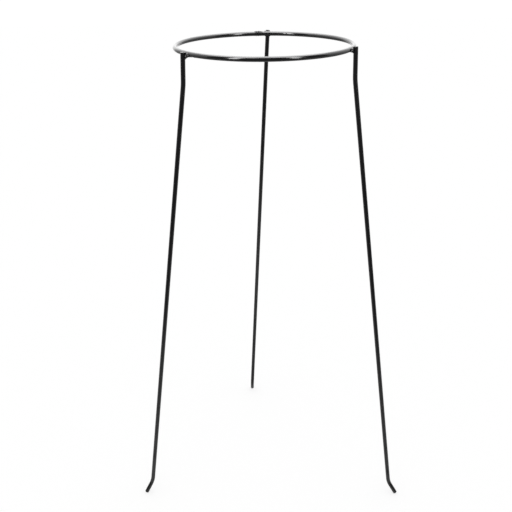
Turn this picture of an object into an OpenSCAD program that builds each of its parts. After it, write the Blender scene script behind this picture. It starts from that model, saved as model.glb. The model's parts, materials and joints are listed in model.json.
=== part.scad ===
// Ring-top tripod stand: a hoop of round steel bar on three bent legs of the same bar, welded together.
// All sizes are in millimetres and all angles in degrees.
// The origin is on the ground straight below the centre of the ring. +Z is up and the rear leg is near +Y.
// Lists of three values are for the left, right and rear leg, in that order.

/* [Bar] */
// Diameter of the round bar that the ring and the legs are made of
bar_d = 8; // [6:0.5:10]
// Corner broken off the cut foot ends
foot_chamfer = 0.6; // [0.2:0.1:1.5]

/* [Ring] */
// Diameter of the ring along the middle of its bar
ring_d = 305; // [240:1:400]
// Height of the top of the ring above the ground
stand_height = 914; // [700:1:1200]
// Direction of the ring's closing seam, counted from +X
seam_angle = 90; // [90:0.5:180]
// Gap between the two cut ends of the ring, which the seam weld fills
seam_gap = 1.2; // [0.6:0.1:2.5]

/* [Leg shape] */
// Depth of the upper bend's corner below the middle of the ring
upper_bend_drop = 48.5; // [35:0.5:90]
// Centreline radius of the upper bend
upper_bend_r = 100; // [40:1:200]
// Slope of the long straight length, away from plumb
leg_splay = 6.2; // [4:0.1:12]
// Depth of a foot from the lower bend's corner to its cut end, along the bar
foot_len = 29.5; // [24:0.5:50]
// Centreline radius of the lower bend
foot_bend_r = 38; // [20:1:45]
// How much the bar's radius swells where it is bent
bend_swell = 0.03; // [0.02:0.01:0.1]
// Slope of the foot, away from plumb
foot_slope = 32; // [25:1:42]

/* [Leg placing] */
// Direction of each leg's weld from the ring's centre, counted from +X
leg_angles = [212, 334.5, 83.5]; // [0:0.5:360]
// Sideways lean of each leg, towards the next leg clockwise when negative
side_leans = [-4.4, 0.2, 3]; // [-6:0.1:6]
// Extra outward lean of each leg
out_leans = [0, 1.6, 0.3]; // [0:0.1:3]
// Height of each leg's cut top above the top of the ring
top_rises = [-1, 0, 1.5]; // [-2:0.5:3]

/* [Welds] */
// Fit-up gap between the ring and a leg before welding
root_gap = 0.1; // [0.05:0.05:0.3]
// Radius of the largest lump in a front leg's bead
front_bead_r = 3.7; // [2.6:0.1:4.2]
// Radius of the largest lump in the rear leg's two beads
rear_bead_r = 3.1; // [2.6:0.1:3.6]
// Height of a leg's bead, from its top lump to its bottom lump
bead_drop = 8.5; // [6:0.5:12]
// Number of lumps in a leg's bead
bead_lumps = 5; // [4:1:7]
// Height of the seam weld's ripples above the bar
seam_proud = 1.5; // [1.3:0.1:2.2]
// How much higher the seam weld sits on the bar than under it
seam_lift = 0.5; // [0.3:0.1:0.5]
// Spacing of the seam weld's ripples
seam_pitch = 3.4; // [2.5:0.1:4]
// Number of ripples in the seam weld
seam_ripples = 4; // [3:1:5]

/* [Hidden] */
// Fine enough for the thin weld shells; the ring itself is many times longer round than the bar.
$fa = 3;
$fs = 0.2;
ring_sides = 720;
paint = [0.07, 0.07, 0.075];
weld_paint = [0.1, 0.1, 0.105];

LEFT = 0;
RIGHT = 1;
REAR = 2;

bar_r = bar_d / 2;
ring_r = ring_d / 2;
ring_z = stand_height - bar_r;
leg_r = ring_r + bar_d + root_gap;
foot_turn = foot_slope - leg_splay;
// The straight lengths run this far into the swollen bends, so that the bar is one solid.
bite = 0.5;
upper_tangent = upper_bend_r * tan(leg_splay / 2);
foot_tangent = foot_bend_r * tan(foot_turn / 2);
foot_straight = foot_len - foot_tangent;
// Half the stretch of ring, in degrees, that a leg's weld is shaped against.
weld_reach = 15;
// A bead's lumps swell and shrink along part of a half wave, from this angle of it over this stretch of it.
wave_start = 36;
wave_span = 117;
// Size of a lump at the ends of that wave, as a share of the largest.
least_lump = 0.35;
// Shares of the largest lump: how far below the ring's top the first lump lies, how far the last one has
// moved outwards, and how far the largest one stands off the leg's side.
first_drop = 0.8;
last_out = 0.5;
belly_off = 0.4;
// Half the width of a seam ripple as a share of the spacing, and the thickness of the band under it.
ripple_share = 0.35;
band_skin = 0.1;

// How much of a leg's own down and outward travel becomes height lost, once the leg leans.
function down_share(leg) = cos(out_leans[leg]) * cos(side_leans[leg]);
function out_share(leg) = sin(out_leans[leg]);

// Angle of the foot's axis away from plumb, after the lean, and the height of its end's centre:
// the lowest point of the chamfered end then just meets the ground.
function foot_plumb(leg) = acos(down_share(leg) * cos(foot_slope) - out_share(leg) * sin(foot_slope));
function foot_end_z(leg) = (bar_r - foot_chamfer) * sin(foot_plumb(leg));

// Angle that a length along the ring spans.
function ring_degrees(length) = length / ring_r * 180 / PI;

// Distance between the corners of a leg's two bends that puts its foot on the ground.
function corner_distance(leg) =
    (ring_z - foot_end_z(leg)
        - down_share(leg) * (upper_bend_drop + foot_len * cos(foot_slope))
        + out_share(leg) * foot_len * sin(foot_slope))
    / (down_share(leg) * cos(leg_splay) - out_share(leg) * sin(leg_splay));
function main_straight(leg) = corner_distance(leg) - upper_tangent - foot_tangent;

// A leg's own frame: origin on its axis at the height of the ring's middle, X away from the ring, Z up.
module at_leg(leg) {
    translate([0, 0, ring_z])
        rotate([0, 0, leg_angles[leg]])
            translate([leg_r, 0, 0])
                rotate([side_leans[leg], -out_leans[leg], 0])
                    children();
}

// Straight bar from the origin down.
module bar_down(length) {
    translate([0, 0, -length])
        cylinder(h = length, r = bar_r);
}

// Bent bar that starts at the origin, heading down, and turns towards +X.
module bend_out(bend_r, turn) {
    translate([bend_r, 0, 0])
        rotate([90, 0, 0])
            rotate([0, 0, 180])
                rotate_extrude(angle = turn)
                    translate([bend_r, 0])
                        circle(r = bar_r + bend_swell);
}

// Moves its children to the end of such a bend, heading the way that it ends.
module past_bend(bend_r, turn) {
    translate([bend_r * (1 - cos(turn)), 0, -bend_r * sin(turn)])
        rotate([0, -turn, 0])
            children();
}

module foot() {
    translate([0, 0, bite])
        bar_down(bite + foot_straight - foot_chamfer);
    translate([0, 0, -foot_straight])
        cylinder(h = foot_chamfer, r1 = bar_r - foot_chamfer, r2 = bar_r);
}

module leg(leg) {
    top = bar_r + top_rises[leg];
    upper_straight = upper_bend_drop - upper_tangent;
    color(paint)
        at_leg(leg) {
            translate([0, 0, top])
                bar_down(top + upper_straight + bite);
            translate([0, 0, -upper_straight]) {
                bend_out(upper_bend_r, leg_splay);
                past_bend(upper_bend_r, leg_splay) {
                    translate([0, 0, bite])
                        bar_down(main_straight(leg) + 2 * bite);
                    translate([0, 0, -main_straight(leg)]) {
                        bend_out(foot_bend_r, foot_turn);
                        past_bend(foot_bend_r, foot_turn)
                            foot();
                    }
                }
            }
        }
}

module leg_left() {
    leg(LEFT);
}

module leg_right() {
    leg(RIGHT);
}

module leg_rear() {
    leg(REAR);
}

// Bar rolled to the ring's radius, from one angle to another.
module rolled_bar(from, to, r) {
    rotate([0, 0, from])
        rotate_extrude(angle = to - from, $fn = ring_sides)
            translate([ring_r, 0])
                circle(r = r);
}

// The hoop, with its two cut ends facing each other at the seam.
module ring() {
    half_gap = ring_degrees(seam_gap / 2);
    color(paint)
        translate([0, 0, ring_z])
            rolled_bar(seam_angle + half_gap, seam_angle + 360 - half_gap, bar_r);
}

// One run of overlapping lumps down the corner between the ring and a leg.
// side is 1 for the counterclockwise side of the leg and -1 for the other. along runs from 0 to 1 down it.
module bead(side, lump_r) {
    corner = [-bar_r - root_gap / 2, side * bar_r, bar_r - lump_r * first_drop];
    for (lump = [0 : bead_lumps - 1]) {
        along = lump / (bead_lumps - 1);
        belly = sin(wave_start + wave_span * along);
        translate(corner + [lump_r * last_out * along, side * lump_r * belly_off * belly, -bead_drop * along])
            sphere(r = lump_r * (least_lump + (1 - least_lump) * belly));
    }
}

module leg_weld(leg, sides, lump_r) {
    color(weld_paint)
        difference() {
            at_leg(leg)
                for (side = sides)
                    bead(side, lump_r);
            at_leg(leg)
                cylinder(h = upper_bend_drop, r = bar_r, center = true);
            translate([0, 0, ring_z])
                rolled_bar(leg_angles[leg] - weld_reach, leg_angles[leg] + weld_reach, bar_r);
        }
}

module weld_left() {
    leg_weld(LEFT, [1], front_bead_r);
}

module weld_right() {
    leg_weld(RIGHT, [-1], front_bead_r);
}

module weld_rear() {
    leg_weld(REAR, [1, -1], rear_bead_r);
}

// The seam weld: a band round the bar with raised ripples, which also fills the gap between the cut ends.
module weld_ring_seam() {
    ripple_half = ring_degrees(seam_pitch * ripple_share);
    band_half = ring_degrees(seam_pitch * seam_ripples / 2);
    color(weld_paint)
        difference() {
            translate([0, 0, ring_z + seam_lift]) {
                rolled_bar(seam_angle - band_half, seam_angle + band_half, bar_r + seam_lift + band_skin);
                for (ripple = [0 : seam_ripples - 1]) {
                    middle = seam_angle + ring_degrees(seam_pitch * (ripple - (seam_ripples - 1) / 2));
                    rolled_bar(middle - ripple_half, middle + ripple_half, bar_r + seam_proud - seam_lift);
                }
            }
            ring();
        }
}

ring();
leg_left();
leg_right();
leg_rear();
weld_left();
weld_right();
weld_rear();
weld_ring_seam();
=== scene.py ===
import json
import math
import random

import bmesh
import bpy
from mathutils import Matrix, Vector, noise


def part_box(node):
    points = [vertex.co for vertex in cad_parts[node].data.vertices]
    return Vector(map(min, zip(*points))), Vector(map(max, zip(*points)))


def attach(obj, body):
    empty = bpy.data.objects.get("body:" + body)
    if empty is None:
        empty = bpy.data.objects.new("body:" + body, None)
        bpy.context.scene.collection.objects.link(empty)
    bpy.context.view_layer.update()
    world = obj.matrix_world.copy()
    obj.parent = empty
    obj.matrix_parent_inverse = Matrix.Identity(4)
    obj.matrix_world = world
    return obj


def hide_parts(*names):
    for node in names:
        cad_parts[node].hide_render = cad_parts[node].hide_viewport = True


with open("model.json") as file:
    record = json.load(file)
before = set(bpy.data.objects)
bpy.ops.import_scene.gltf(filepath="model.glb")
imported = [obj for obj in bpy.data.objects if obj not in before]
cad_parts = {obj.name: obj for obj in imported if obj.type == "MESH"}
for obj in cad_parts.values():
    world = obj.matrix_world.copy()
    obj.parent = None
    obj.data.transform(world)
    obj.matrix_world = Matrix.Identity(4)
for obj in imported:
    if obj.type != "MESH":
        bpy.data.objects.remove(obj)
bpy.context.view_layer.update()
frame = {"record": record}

mm = 0.001  # metres in a millimetre
up = Vector((0, 0, 1))
meshing = {
    "mergeWithin": 0.001 * mm,
    "sharpFrom": 40,  # degrees between two faces from which their edge shows sharp
}


def toLinear(hexColour):
    channels = [int(hexColour[i:i + 2], 16) / 255 for i in (1, 3, 5)]
    return [c / 12.92 if c <= 0.04045 else ((c + 0.055) / 1.055) ** 2.4 for c in channels] + [1.0]


def addNode(tree, kind, inputs=None, **settings):
    made = tree.nodes.new(kind)
    for name, value in settings.items():
        setattr(made, name, value)
    for socket, value in (inputs or {}).items():
        if isinstance(value, tuple) and isinstance(value[0], bpy.types.Node):
            tree.links.new(value[0].outputs[value[1]], made.inputs[socket])
        else:
            made.inputs[socket].default_value = value
    return made


def newMaterial(name):
    material = bpy.data.materials.new(name)
    material.use_nodes = True
    material.node_tree.nodes.clear()
    return material, material.node_tree


def newObject(name, bm):
    mesh = bpy.data.meshes.new(name)
    bm.to_mesh(mesh)
    bm.free()
    made = bpy.data.objects.new(name, mesh)
    bpy.context.scene.collection.objects.link(made)
    return made


def shadeSmooth(mesh):
    mesh.polygons.foreach_set("use_smooth", [True] * len(mesh.polygons))


def newPiece(name, bm):
    bmesh.ops.remove_doubles(bm, verts=bm.verts, dist=meshing["mergeWithin"])
    bmesh.ops.recalc_face_normals(bm, faces=bm.faces)
    piece = newObject(name, bm)
    shadeSmooth(piece.data)
    piece.data.set_sharp_from_angle(angle=math.radians(meshing["sharpFrom"]))
    return piece


def putOn(piece, node, slot, *materials):
    piece.data.materials.clear()
    for material in materials:
        piece.data.materials.append(material)
    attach(piece, "root")
    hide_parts(node)


def applyModifiers(piece):
    depsgraph = bpy.context.evaluated_depsgraph_get()
    mesh = bpy.data.meshes.new_from_object(piece.evaluated_get(depsgraph))
    piece.modifiers.clear()
    piece.data = mesh
    shadeSmooth(mesh)


# The round bar that the whole stand is made of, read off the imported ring
ringLow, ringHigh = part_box("ring")
bar = {
    "radius": (ringHigh.z - ringLow.z) / 2,
    "sides": 28,
    "step": 6 * mm,  # longest facet along a straight
    "bendStep": 3,  # degrees of turn that a facet of a bend covers
    "capInset": 0.4,  # width of the ring of quads on a capped end, for the bar's radius
}


def vertsOf(loop):
    return list(dict.fromkeys(v for e in loop for v in e.verts))


def edgesIn(geom):
    return [e for e in geom if isinstance(e, bmesh.types.BMEdge)]


def middleOf(verts):
    return sum((v.co for v in verts), Vector()) / len(verts)


def startBar(bm, centre, direction):
    aim = direction.to_track_quat("Z", "Y").to_matrix().to_4x4()
    made = bmesh.ops.create_circle(bm, segments=bar["sides"], radius=bar["radius"],
                                   matrix=Matrix.Translation(centre) @ aim)
    return list(dict.fromkeys(e for v in made["verts"] for e in v.link_edges))


def growLoop(bm, loop):
    old = set(vertsOf(loop))
    grown = bmesh.ops.extrude_edge_only(bm, edges=loop)["geom"]
    verts = [v for v in grown if isinstance(v, bmesh.types.BMVert) and v not in old]
    return verts, [e for e in edgesIn(grown) if all(v in verts for v in e.verts)]


def runStraight(bm, loop, direction, length):
    count = max(1, round(length / bar["step"]))
    for i in range(count):
        verts, loop = growLoop(bm, loop)
        bmesh.ops.translate(bm, verts=verts, vec=direction * (length / count))
    return loop


def spinLoop(bm, loop, centre, axis, angle, steps):
    spun = bmesh.ops.spin(bm, geom=vertsOf(loop) + loop, cent=centre, axis=axis, dvec=(0, 0, 0),
                          angle=angle, steps=steps, use_merge=False, use_normal_flip=False,
                          use_duplicate=False)
    return edgesIn(spun["geom_last"])


def runBend(bm, loop, centre, axis, angle):
    steps = max(2, round(math.degrees(angle) / bar["bendStep"]))
    return spinLoop(bm, loop, centre, axis, angle, steps)


def capEnd(bm, loop, direction, chamfer):
    # two even steps round the cut's corner, then a flat face with a ring of quads on it
    centre = middleOf(vertsOf(loop))
    step = chamfer / 2
    for i in range(2):
        verts, loop = growLoop(bm, loop)
        bmesh.ops.translate(bm, verts=verts, vec=direction * step)
        reach = verts[0].co - centre
        reach = (reach - direction * reach.dot(direction)).length
        centre = centre + direction * step
        bmesh.ops.scale(bm, verts=verts, vec=(1 - step / reach,) * 3,
                        space=Matrix.Translation(-centre))
    face = bmesh.ops.contextual_create(bm, geom=loop)["faces"]
    bmesh.ops.inset_region(bm, faces=face, thickness=bar["radius"] * bar["capInset"],
                           use_even_offset=True)


ringShape = {
    "radius": (ringHigh.x - ringLow.x) / 2 - bar["radius"],
    "height": (ringHigh.z + ringLow.z) / 2,
    "seam": 90,  # degrees from +X
    "seamGap": 1.2 * mm,
    "facets": 540,
    # how far the rolled bar wanders outward and upward from a true circle
    "outWave": 0.05 * mm,
    "riseWave": 0.04 * mm,
    # each as waves to a turn, share, phase
    "outWaves": [(3, 1, 0.6), (7, 0.6, 2.1), (13, 0.4, 0)],
    "riseWaves": [(5, 1, 1.3), (11, 0.5, 0.2)],
    # turn round the ring and round the bar in degrees, height in mm
    "nibs": [(-114, -30, 0.6), (-105, -38, 0.6), (-61, 35, 0.3), (-160, -20, 0.35), (-20, -50, 0.4),
             (35, -80, 0.5), (70, 160, 0.35), (128, -60, 0.45), (155, 195, 0.4), (-140, -85, 0.5)],
    "nibReach": 1.6 * mm,
}


def addWaves(waves, turn):
    return sum(share * math.sin(count * turn + phase) for count, share, phase in waves)


def makeRing():
    bm = bmesh.new()
    gap = ringShape["seamGap"] / ringShape["radius"]
    start = Matrix.Rotation(math.radians(ringShape["seam"]) + gap / 2, 4, "Z")
    centre = start @ Vector((ringShape["radius"], 0, ringShape["height"]))
    first = startBar(bm, centre, start @ Vector((0, 1, 0)))
    last = spinLoop(bm, first, (0, 0, 0), (0, 0, 1), math.tau - gap, ringShape["facets"])
    for end in (first, last):
        bmesh.ops.contextual_create(bm, geom=end)
    # hand rolling leaves the hoop very slightly wavy, here always inward of the true circle
    inset = sum(share for count, share, phase in ringShape["outWaves"])
    for v in bm.verts:
        turn = math.atan2(v.co.y, v.co.x)
        out = Vector((math.cos(turn), math.sin(turn), 0))
        v.co += (out * (addWaves(ringShape["outWaves"], turn) - inset) * ringShape["outWave"]
                 + up * addWaves(ringShape["riseWaves"], turn) * ringShape["riseWave"])
    # small nibs of dust and drips under the paint
    for turn, lean, high in ringShape["nibs"]:
        around, over = math.radians(turn), math.radians(lean)
        out = Vector((math.cos(around), math.sin(around), 0))
        lift = out * math.cos(over) + up * math.sin(over)
        spot = out * ringShape["radius"] + up * ringShape["height"] + lift * bar["radius"]
        for v in bm.verts:
            near = 1 - (v.co - spot).length / ringShape["nibReach"]
            if near > 0:
                v.co += lift * high * mm * near
    return newPiece("ringHoop", bm)


# Each leg's weld direction, sideways and outward lean in degrees; its top's height over the ring
# and the least and most of its burr in mm
legs = {
    "left": {"angle": 212, "sideLean": -4.4, "outLean": 0, "topRise": -1,
             "burr": (0.2, 0.7), "seed": 11},
    "right": {"angle": 334.5, "sideLean": 0.2, "outLean": 1.6, "topRise": 0,
              "burr": (-0.1, 0.45), "seed": 12},
    "rear": {"angle": 83.5, "sideLean": 3, "outLean": 0.3, "topRise": 1.5,
             "burr": (-0.45, -0.05), "seed": 13},
}
legShape = {
    "rootGap": 0.1 * mm,
    "bendDrop": 48.5 * mm,
    "upperBend": 100 * mm,
    "footBend": 38 * mm,
    "cadChamfer": 0.6 * mm,
    "chamfer": 0.35 * mm,  # the sawn edge is only just broken
    "worn": 0.1 * mm,  # how much slimmer the foot is at its very end
    "burrWidth": 0.3 * mm,
    "topCup": 0.8 * mm,  # the cut leaves the top end dished inside its burr
    "topCupWall": 0.5 * mm,
}
footMounts = {m["name"]: m for m in frame["record"]["mounts"] if m["name"].startswith("foot_")}


def legFrame(leg):
    reach = ringShape["radius"] + 2 * bar["radius"] + legShape["rootGap"]
    return (Matrix.Translation((0, 0, ringShape["height"]))
            @ Matrix.Rotation(math.radians(leg["angle"]), 4, "Z")
            @ Matrix.Translation((reach, 0, 0))
            @ Matrix.Rotation(math.radians(-leg["outLean"]), 4, "Y")
            @ Matrix.Rotation(math.radians(leg["sideLean"]), 4, "X"))


def findLowerCorner(upperCorner, footMiddle, footAxis, footHalf):
    # it lies on the foot's axis, where the bend's tangent ends; three rounds settle it
    turn = (upperCorner - footMiddle).angle(-footAxis)
    for i in range(3):
        tangent = legShape["footBend"] * math.tan(turn / 2)
        corner = footMiddle - footAxis * (footHalf + tangent)
        turn = (corner - upperCorner).normalized().angle(footAxis)
    return corner


def endFoot(bm, loop, footAxis, footHalf):
    # a keener edge reaches the ground sooner, so the foot ends that much higher
    keener = legShape["cadChamfer"] - legShape["chamfer"]
    drop = -footAxis.z
    shorter = (keener - legShape["worn"]) * math.sqrt(1 - drop * drop) / drop
    loop = runStraight(bm, loop, footAxis,
                       footHalf * 2 + legShape["cadChamfer"] - shorter - legShape["chamfer"])
    verts = vertsOf(loop)
    centre = middleOf(verts)
    for v in verts:
        v.co += (centre - v.co).normalized() * legShape["worn"]
    capEnd(bm, loop, footAxis, legShape["chamfer"])


def endTop(bm, loop, down, leg):
    face = bmesh.ops.contextual_create(bm, geom=loop)["faces"][0]
    rim = list(face.verts)
    bmesh.ops.inset_region(bm, faces=[face], thickness=legShape["burrWidth"], depth=0)
    cupVerts = set(face.verts)
    bmesh.ops.inset_region(bm, faces=[face], thickness=legShape["topCupWall"],
                           depth=-legShape["topCup"])
    cupVerts |= set(face.verts)
    # the cut face inside the burr takes the second material
    for cut in bm.faces:
        if all(v in cupVerts for v in cut.verts):
            cut.material_index = 1
    # the sawn end keeps a small burr, so its rim isn't level
    draw = random.Random(leg["seed"])
    for v in rim:
        v.co -= down * draw.uniform(*leg["burr"]) * mm


def makeLeg(name, leg):
    place = legFrame(leg)
    down = (place.to_3x3() @ -up).normalized()
    top = place @ Vector((0, 0, bar["radius"] + leg["topRise"] * mm))
    upperCorner = place @ Vector((0, 0, -legShape["bendDrop"]))
    mount = footMounts["foot_" + name]
    footAxis = Vector(mount["axis"]).normalized()
    footHalf = mount["dims"]["length_mm"] * mm / 2
    lowerCorner = findLowerCorner(upperCorner, Vector(mount["pos_m"]), footAxis, footHalf)
    main = (lowerCorner - upperCorner).normalized()

    bm = bmesh.new()
    topLoop = startBar(bm, top, down)
    loop, at, heading = list(topLoop), top, down
    for corner, after, bendRadius in ((upperCorner, main, legShape["upperBend"]),
                                      (lowerCorner, footAxis, legShape["footBend"])):
        turn = heading.angle(after)
        tangent = bendRadius * math.tan(turn / 2)
        loop = runStraight(bm, loop, heading, (corner - at).length - tangent)
        axis = heading.cross(after).normalized()
        centre = corner - heading * tangent + axis.cross(heading) * bendRadius
        loop = runBend(bm, loop, centre, axis, turn)
        at, heading = corner + after * tangent, after
    endFoot(bm, loop, footAxis, footHalf)
    endTop(bm, topLoop, down, leg)
    return newPiece("leg" + name.capitalize() + "Bar", bm)


# Beads are runs of (outward, sideways, up, radius) in mm from the leg's axis at the ring's height,
# laid as lumps that are then fused and softened
weldShape = {
    "voxel": 0.2 * mm,
    "soften": 0.5,
    "softenTimes": 3,
    "bump": 0.09,  # mm, how far the paint's lumps stand
    "bumpsPerMetre": 900,
    "pitch": 1.15,  # mm from one ripple of the bead to the next
    "ripple": 0.62,  # a ripple's thickness along the bead for its width
    "thinnest": 0.9,  # mm, the least half thickness of a ripple
    "jog": 0.1,  # mm that a ripple lies out of line
    "swell": (0.93, 1.06),  # least and most size of a ripple for its run's
    "hangsFrom": 2.4,  # mm under the ring's height, from which a bead's "drop" stretches it
    "pool": 0.24,  # a pool's thickness for its width
    "sideRun": [(-4.6, 3.4, 3.2, 1.4), (-4.9, 4.8, 2.4, 2.2), (-5.0, 5.9, 0.7, 3.1),
                (-4.8, 5.9, -1.5, 2.8), (-4.2, 5.0, -3.2, 2.3), (-3.6, 4.4, -4.7, 1.7),
                (-3.2, 3.9, -6.1, 1.2), (-2.9, 3.5, -7.4, 0.65)],
    "toeRun": [(-5.3, 7.4, -1.7, 2.6), (-5.9, 9.0, -2.2, 1.8), (-6.4, 10.6, -2.4, 1.3),
               (-7.0, 12.2, -2.6, 0.9), (-7.5, 13.8, -2.8, 0.6)],
    "backRun": [(-5.0, 5.8, 2.7, 1.6), (-4.9, 5.4, 1.0, 2.2), (-4.7, 4.9, -1.2, 2.2),
                (-4.3, 4.6, -3.1, 1.9), (-3.9, 3.9, -4.8, 1.0)],
    "capRun": [(-4.6, -5.0, 3.1, 1.5), (-4.4, -3.0, 3.2, 1.5), (-4.3, -0.8, 3.3, 1.5),
               (-4.3, 1.6, 3.3, 1.6), (-4.5, 3.6, 3.2, 1.5), (-5.0, 5.6, 3.1, 1.5)],
}
# Each bead's runs and the side of each; "pools" are where it flowed flat: place and radius in mm,
# and the turn and rise that it faces in degrees
welds = {
    "left": {"runs": [("sideRun", 1), ("toeRun", 1)], "drop": 1.0, "seed": 21,
             "pools": [((-4.3, 6.9, 1.6), 2.1, -110, 32), ((-3.6, 6.0, -2.6), 1.5, -108, 25)]},
    "right": {"runs": [("sideRun", -1), ("toeRun", -1)], "drop": 0.7, "seed": 22,
              "pools": [((-4.2, -6.6, 1.6), 2.2, -73, 34), ((-2.6, -2.4, 3.2), 1.2, -73, 40)]},
    "rear": {"runs": [("backRun", 1), ("backRun", -1), ("capRun", 1)], "drop": 1.0, "seed": 23,
             "pools": []},
}


def addLump(bm, place, centre, radius, along=None, ripple=1.0):
    shape = Matrix.Translation(Vector(centre) * mm)
    if along is not None:
        aim = along.to_track_quat("Z", "Y").to_matrix().to_4x4()
        shape = shape @ aim @ Matrix.Diagonal((1, 1, ripple, 1))
    bmesh.ops.create_icosphere(bm, subdivisions=3, radius=radius * mm, matrix=place @ shape)


def finishBead(name, bm, seed):
    piece = newPiece(name, bm)
    fused = piece.modifiers.new("fused", "REMESH")
    fused.mode = "VOXEL"
    fused.voxel_size = weldShape["voxel"]
    applyModifiers(piece)
    film = piece.modifiers.new("paintFilm", "SMOOTH")
    film.factor = weldShape["soften"]
    film.iterations = weldShape["softenTimes"]
    applyModifiers(piece)
    offset = Vector((seed * 7.3, seed * 1.9, 0))  # so that no two beads have the same bumps
    spots = [v.co.copy() for v in piece.data.vertices]
    normals = [v.vector.copy() for v in piece.data.vertex_normals]
    moved = []
    for spot, normal in zip(spots, normals):
        bump = noise.noise(spot * weldShape["bumpsPerMetre"] + offset)
        moved.extend(spot + normal * bump * weldShape["bump"] * mm)
    piece.data.vertices.foreach_set("co", moved)
    piece.data.update()
    return piece


def layRun(bm, place, run, side, drop, draw):
    points = []
    for out, sideways, rise, radius in run:
        hangs = rise + weldShape["hangsFrom"]
        if hangs < 0:
            rise = hangs * drop - weldShape["hangsFrom"]
        points.append(Vector((out, sideways * side, rise, radius)))
    for start, end in zip(points, points[1:]):
        step = Vector(end[:3]) - Vector(start[:3])
        count = max(1, round(step.length / weldShape["pitch"]))
        for i in range(count):
            spot = start.lerp(end, i / count)
            jog = [draw.uniform(-weldShape["jog"], weldShape["jog"]) for axis in range(3)]
            radius = spot[3] * draw.uniform(*weldShape["swell"])
            ripple = max(weldShape["ripple"], weldShape["thinnest"] / radius)
            addLump(bm, place, Vector(spot[:3]) + Vector(jog), radius, step, ripple)
    addLump(bm, place, points[-1][:3], points[-1][3])


def makeLegWeld(name, weld):
    bm = bmesh.new()
    place = legFrame(legs[name])
    draw = random.Random(weld["seed"])
    for run, side in weld["runs"]:
        layRun(bm, place, weldShape[run], side, weld["drop"], draw)
    for spot, radius, turn, rise in weld["pools"]:
        turn, rise = math.radians(turn), math.radians(rise)
        facing = Vector((math.cos(turn), math.sin(turn), math.tan(rise)))
        addLump(bm, place, spot, radius, place.to_3x3().inverted() @ facing, weldShape["pool"])
    return finishBead("weld" + name.capitalize() + "Bead", bm, weld["seed"])


# The seam's ripples as rings round the bar, all in mm
seamShape = {
    "radii": [4.25, 4.7, 4.5, 4.95, 4.55, 4.85, 4.3],
    "pitch": 2.3,
    "lift": 0.3,
    "wander": (-0.1, 0.15),
    "ripple": 0.34,  # a ripple's thickness for its width
    # a nugget of filler stands on every other ripple
    "nuggetOut": (-1.5, 0.5),
    "nuggetAlong": (-0.4, 0.4),
    "nuggetHigh": 3.9,
    "nuggetRadius": (1.1, 1.35),
    "seed": 31,
    "bumpSeed": 4,
}


def makeSeamWeld():
    bm = bmesh.new()
    draw = random.Random(seamShape["seed"])
    middle = (len(seamShape["radii"]) - 1) / 2
    for i, radius in enumerate(seamShape["radii"]):
        away = (i - middle) * seamShape["pitch"] * mm
        turn = math.radians(ringShape["seam"]) + away / ringShape["radius"]
        place = (Matrix.Translation((0, 0, ringShape["height"])) @ Matrix.Rotation(turn, 4, "Z")
                 @ Matrix.Translation((ringShape["radius"], 0, 0)))
        addLump(bm, place, (draw.uniform(*seamShape["wander"]), 0, seamShape["lift"]), radius,
                Vector((0, 1, 0)), seamShape["ripple"])
        if i % 2:
            nugget = (draw.uniform(*seamShape["nuggetOut"]),
                      draw.uniform(*seamShape["nuggetAlong"]), seamShape["nuggetHigh"])
            addLump(bm, place, nugget, draw.uniform(*seamShape["nuggetRadius"]))
    return finishBead("weldSeamBead", bm, seamShape["bumpSeed"])


# Black baking enamel, sprayed over steel bar and stoved: a deep gloss, close to black. The film
# levels to a faint orange peel, is thicker and shinier in some places than in others, and is
# scuffed dull where a foot stands. Real dust under it is 0.2 mm across, too fine to show, so it's
# drawn at 0.8 mm.
enamel = {
    # size and detail of each pattern
    "peel": (2.2 * mm, 2.0),
    "grit": (0.8 * mm, 4.0),
    "cloud": (35 * mm, 3.0),  # from a thick place in the film to a thin one
    "cloudSpan": (0.3, 0.7),  # where the cloud is wholly thick and wholly thin
    "gritShare": 0.3,
    "relief": 0.06 * mm,
    "scuffHigh": 14 * mm,
    "scuff": 0.3,  # roughness that the scuffs add
    "ior": 1.5,
}
# Each surface's tones, the roughness of its gloss and of its satin, its shine, and how much of the
# relief it shows
looks = {
    "bar": {"dark": "#0f0f10", "pale": "#141415", "glossy": 0.09, "satin": 0.17,
            "shine": 0.5, "relief": 0.06},
    "sawn": {"dark": "#0a0a0b", "pale": "#101011", "glossy": 0.55, "satin": 0.75,
             "shine": 0.05, "relief": 0.9},
    "bead": {"dark": "#0b0b0c", "pale": "#121213", "glossy": 0.14, "satin": 0.27,
             "shine": 0.5, "relief": 0.3},
    "seam": {"dark": "#0b0b0c", "pale": "#161617", "glossy": 0.45, "satin": 0.65,
             "shine": 0.12, "relief": 0.8},
}


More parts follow.
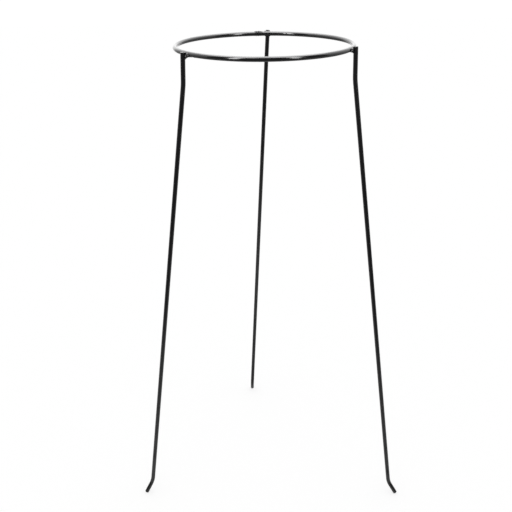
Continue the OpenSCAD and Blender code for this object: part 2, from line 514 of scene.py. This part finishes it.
def blackEnamel(name, look):
    material, tree = newMaterial(name)
    where = addNode(tree, "ShaderNodeTexCoord")
    peel, grit, cloud = [
        addNode(tree, "ShaderNodeTexNoise", {
            "Vector": (where, "Object"), "Scale": 1 / size, "Detail": detail})
        for size, detail in (enamel["peel"], enamel["grit"], enamel["cloud"])]
    thick, thin = enamel["cloudSpan"]
    tone = addNode(tree, "ShaderNodeMapRange", {
        "Value": (cloud, "Fac"), "From Min": thick, "From Max": thin})
    rough = addNode(tree, "ShaderNodeMapRange", {
        "Value": (tone, "Result"), "To Min": look["glossy"], "To Max": look["satin"]})
    place = addNode(tree, "ShaderNodeSeparateXYZ", {"Vector": (where, "Object")})
    foot = addNode(tree, "ShaderNodeMapRange", {
        "Value": (place, "Z"), "From Min": 0.0, "From Max": enamel["scuffHigh"],
        "To Min": enamel["scuff"], "To Max": 0.0})
    scuffed = addNode(tree, "ShaderNodeMath", {
        0: (foot, "Result"), 1: (peel, "Fac"), 2: (rough, "Result")}, operation="MULTIPLY_ADD")
    colour = addNode(tree, "ShaderNodeMix", {
        "Factor": (tone, "Result"), "A": toLinear(look["dark"]), "B": toLinear(look["pale"])},
        data_type="RGBA")
    skin = addNode(tree, "ShaderNodeMath", {
        0: (grit, "Fac"), 1: enamel["gritShare"], 2: (peel, "Fac")}, operation="MULTIPLY_ADD")
    bump = addNode(tree, "ShaderNodeBump", {
        "Height": (skin, "Value"), "Strength": look["relief"], "Distance": enamel["relief"]})
    shader = addNode(tree, "ShaderNodeBsdfPrincipled", {
        "Base Color": (colour, "Result"), "Roughness": (scuffed, "Value"),
        "Specular IOR Level": look["shine"], "Normal": (bump, "Normal"), "IOR": enamel["ior"]})
    addNode(tree, "ShaderNodeOutputMaterial", {"Surface": (shader, "BSDF")})
    return material


ringPaint = blackEnamel("blackBakingEnamelOnRing", looks["bar"])
legPaint = blackEnamel("blackBakingEnamelOnLegs", looks["bar"])
sawnPaint = blackEnamel("thinEnamelOnSawnEnd", looks["sawn"])  # saw marks break up its gloss
beadPaint = blackEnamel("blackBakingEnamelOnBead", looks["bead"])  # pooled in the bead's ripples
seamPaint = blackEnamel("thinEnamelOnRoughSeam", looks["seam"])  # spatter and scale leave it dull

putOn(makeRing(), "ring", "ring_paint", ringPaint)
print("ring made")
for name, leg in legs.items():
    putOn(makeLeg(name, leg), "leg_" + name, "leg_paint", legPaint, sawnPaint)
print("legs made")
for name, weld in welds.items():
    putOn(makeLegWeld(name, weld), "weld_" + name, "weld_paint", beadPaint)
putOn(makeSeamWeld(), "weld_ring_seam", "weld_paint", seamPaint)
print("welds made")


# The paper floor, the boards that only the paint's reflections show, and two softboxes. A board is
# a rectangle between two opposite corners in metres; one that fades has the axis, the two places
# along it and the glow at each, the others one glow.
studio = {
    "skyGlow": 1.075,  # brings the paper floor to plain white
    "floorHalf": 9.0,
    "paper": "#949494",
    "paperGlow": 0.682,  # light through the paper, so that the feet hardly shade it
    "roomSize": 10,
    "roomGlow": 0.13,
    "boards": {
        "boardLeft": {"from": (-1, -0.3, 0), "to": (-1, 1.5, 2.4),
                      "axis": "Z", "fade": (0.7, 1.9), "glow": (0.5, 3.0)},
        "boardRight": {"from": (1, -0.3, 0), "to": (1, 1.5, 2.4),
                       "axis": "Z", "fade": (0.7, 1.9), "glow": (0.5, 3.0)},
        "boardBack": {"from": (-1, 1.5, 0), "to": (1, 1.5, 2.4),
                      "axis": "Z", "fade": (0.6, 2.0), "glow": (1.15, 3.2)},
        "boardTop": {"from": (-1, -1.0, 2.4), "to": (1, 1.5, 2.4), "glow": 8.0},
        "boardFloor": {"from": (-4, -4, -0.001), "to": (4, 4, -0.001),
                       "axis": "Y", "fade": (-0.85, -0.2), "glow": (0.09, 0.8)},
        "boardMat": {"from": (-1, -0.1, 0.0005), "to": (1, 1.5, 0.0005),
                     "axis": "Y", "fade": (-0.1, 0.2), "glow": (0.6, 0.4)},
        "boardBackLow": {"from": (-1, 1.49, 0), "to": (1, 1.49, 0.62),
                         "axis": "Z", "fade": (0.4, 0.62), "glow": (0.4, 1.15)},
        "boardLeftFly": {"from": (-0.78, -0.95, 2.38), "to": (-0.25, -0.45, 2.38), "glow": 14},
        "boardRightFly": {"from": (0.15, -0.75, 2.38), "to": (0.45, -0.1, 2.38), "glow": 10},
    },
    # low dark sills before the feet: a glossy floor looks dark along its surface
    "sills": {"at": [-0.18, -0.26, -0.34, -0.42], "half": 0.6, "high": 0.013, "glow": 0.04},
    # turn in degrees, the rest in metres
    "softboxes": {
        "softboxLeft": {"turn": -131, "away": 2.5, "low": 0.92, "high": 4.6, "width": 0.5,
                        "glow": 15},
        "softboxRight": {"turn": -55.5, "away": 2.5, "low": 0.92, "high": 4.4, "width": 0.45,
                         "glow": 15},
    },
}


def reflectionOnly(made):
    made.visible_camera = False
    made.visible_diffuse = False
    made.visible_shadow = False
    made.visible_transmission = False
    made.visible_volume_scatter = False


def makeFloor():
    bm = bmesh.new()
    bmesh.ops.create_grid(bm, x_segments=1, y_segments=1, size=studio["floorHalf"])
    floor = newObject("studioFloor", bm)
    floor.visible_glossy = False
    material, tree = newMaterial("whitePaperSweep")
    paper = addNode(tree, "ShaderNodeBsdfDiffuse", {"Color": toLinear(studio["paper"])})
    backlight = addNode(tree, "ShaderNodeEmission", {"Strength": studio["paperGlow"]})
    lit = addNode(tree, "ShaderNodeAddShader", {0: (paper, "BSDF"), 1: (backlight, "Emission")})
    addNode(tree, "ShaderNodeOutputMaterial", {"Surface": (lit, "Shader")})
    floor.data.materials.append(material)


def makeBoard(name, board):
    (left, front, low), (right, back, high) = board["from"], board["to"]
    corners = [(left, front, low), (right, back, low), (right, back, high), (left, front, high)]
    if low == high:
        corners = [(left, front, low), (right, front, low), (right, back, low), (left, back, low)]
    bm = bmesh.new()
    bm.faces.new([bm.verts.new(corner) for corner in corners])
    made = newObject(name, bm)
    reflectionOnly(made)
    material, tree = newMaterial(name)
    where = addNode(tree, "ShaderNodeTexCoord")
    split = addNode(tree, "ShaderNodeSeparateXYZ", {"Vector": (where, "Object")})
    # a plain board is one that fades from its glow to the same glow
    fade = board.get("fade", (0, 1))
    glow = board["glow"] if "fade" in board else (board["glow"], board["glow"])
    level = addNode(tree, "ShaderNodeMapRange", {
        "Value": (split, board.get("axis", "Y")), "From Min": fade[0], "From Max": fade[1],
        "To Min": glow[0], "To Max": glow[1]})
    light = addNode(tree, "ShaderNodeEmission", {"Strength": (level, "Result")})
    addNode(tree, "ShaderNodeOutputMaterial", {"Surface": (light, "Emission")})
    made.data.materials.append(material)


def makeBoards():
    for name, board in studio["boards"].items():
        makeBoard(name, board)
    sills = studio["sills"]
    for number, y in enumerate(sills["at"]):
        makeBoard("sill" + str(number + 1), {
            "from": (-sills["half"], y, 0), "to": (sills["half"], y, sills["high"]),
            "glow": sills["glow"]})


def makeRoom():
    # the unlit room beyond the boards
    bm = bmesh.new()
    bmesh.ops.create_cube(bm, size=studio["roomSize"])
    room = newObject("roomDark", bm)
    reflectionOnly(room)
    material, tree = newMaterial("roomDark")
    dim = addNode(tree, "ShaderNodeEmission", {"Strength": studio["roomGlow"]})
    addNode(tree, "ShaderNodeOutputMaterial", {"Surface": (dim, "Emission")})
    room.data.materials.append(material)


def makeSoftbox(name, box):
    data = bpy.data.lights.new(name, "AREA")
    data.shape = "RECTANGLE"
    data.size, data.size_y = box["width"], box["high"] - box["low"]
    # an area lamp's radiance is its power over pi times its face
    data.energy = box["glow"] * math.pi * data.size * data.size_y
    lamp = bpy.data.objects.new(name, data)
    bpy.context.scene.collection.objects.link(lamp)
    turn = math.radians(box["turn"])
    out = Vector((math.cos(turn), math.sin(turn), 0))
    lamp.location = out * box["away"] + up * ((box["low"] + box["high"]) / 2)
    lamp.rotation_euler = (-out).to_track_quat("-Z", "Y").to_euler()
    lamp.visible_camera = False
    lamp.visible_diffuse = False


def makeSky():
    world = bpy.data.worlds.new("whiteStudio")
    world.use_nodes = True
    sky = world.node_tree.nodes["Background"]
    sky.inputs["Color"].default_value = (1, 1, 1, 1)
    sky.inputs["Strength"].default_value = studio["skyGlow"]
    bpy.context.scene.world = world


# Place in metres, angles in degrees, lens and sensor in millimetres
view = {"from": (-0.0873, -1.2096, 1.0759), "yaw": -3.26, "pitch": 24.975, "roll": 0.68,
        "lens": 47.97, "sensor": 36}


def makeCamera():
    data = bpy.data.cameras.new("camera")
    data.lens = view["lens"]
    data.sensor_width = view["sensor"]
    made = bpy.data.objects.new("camera", data)
    bpy.context.scene.collection.objects.link(made)
    made.matrix_world = (Matrix.Translation(view["from"])
                         @ Matrix.Rotation(math.radians(view["yaw"]), 4, "Z")
                         @ Matrix.Rotation(math.radians(90 - view["pitch"]), 4, "X")
                         @ Matrix.Rotation(math.radians(-view["roll"]), 4, "Z"))
    bpy.context.scene.camera = made


makeFloor()
makeBoards()
makeRoom()
for name, box in studio["softboxes"].items():
    makeSoftbox(name, box)
makeSky()
makeCamera()
bpy.context.scene.view_settings.view_transform = "Standard"
print("studio made")
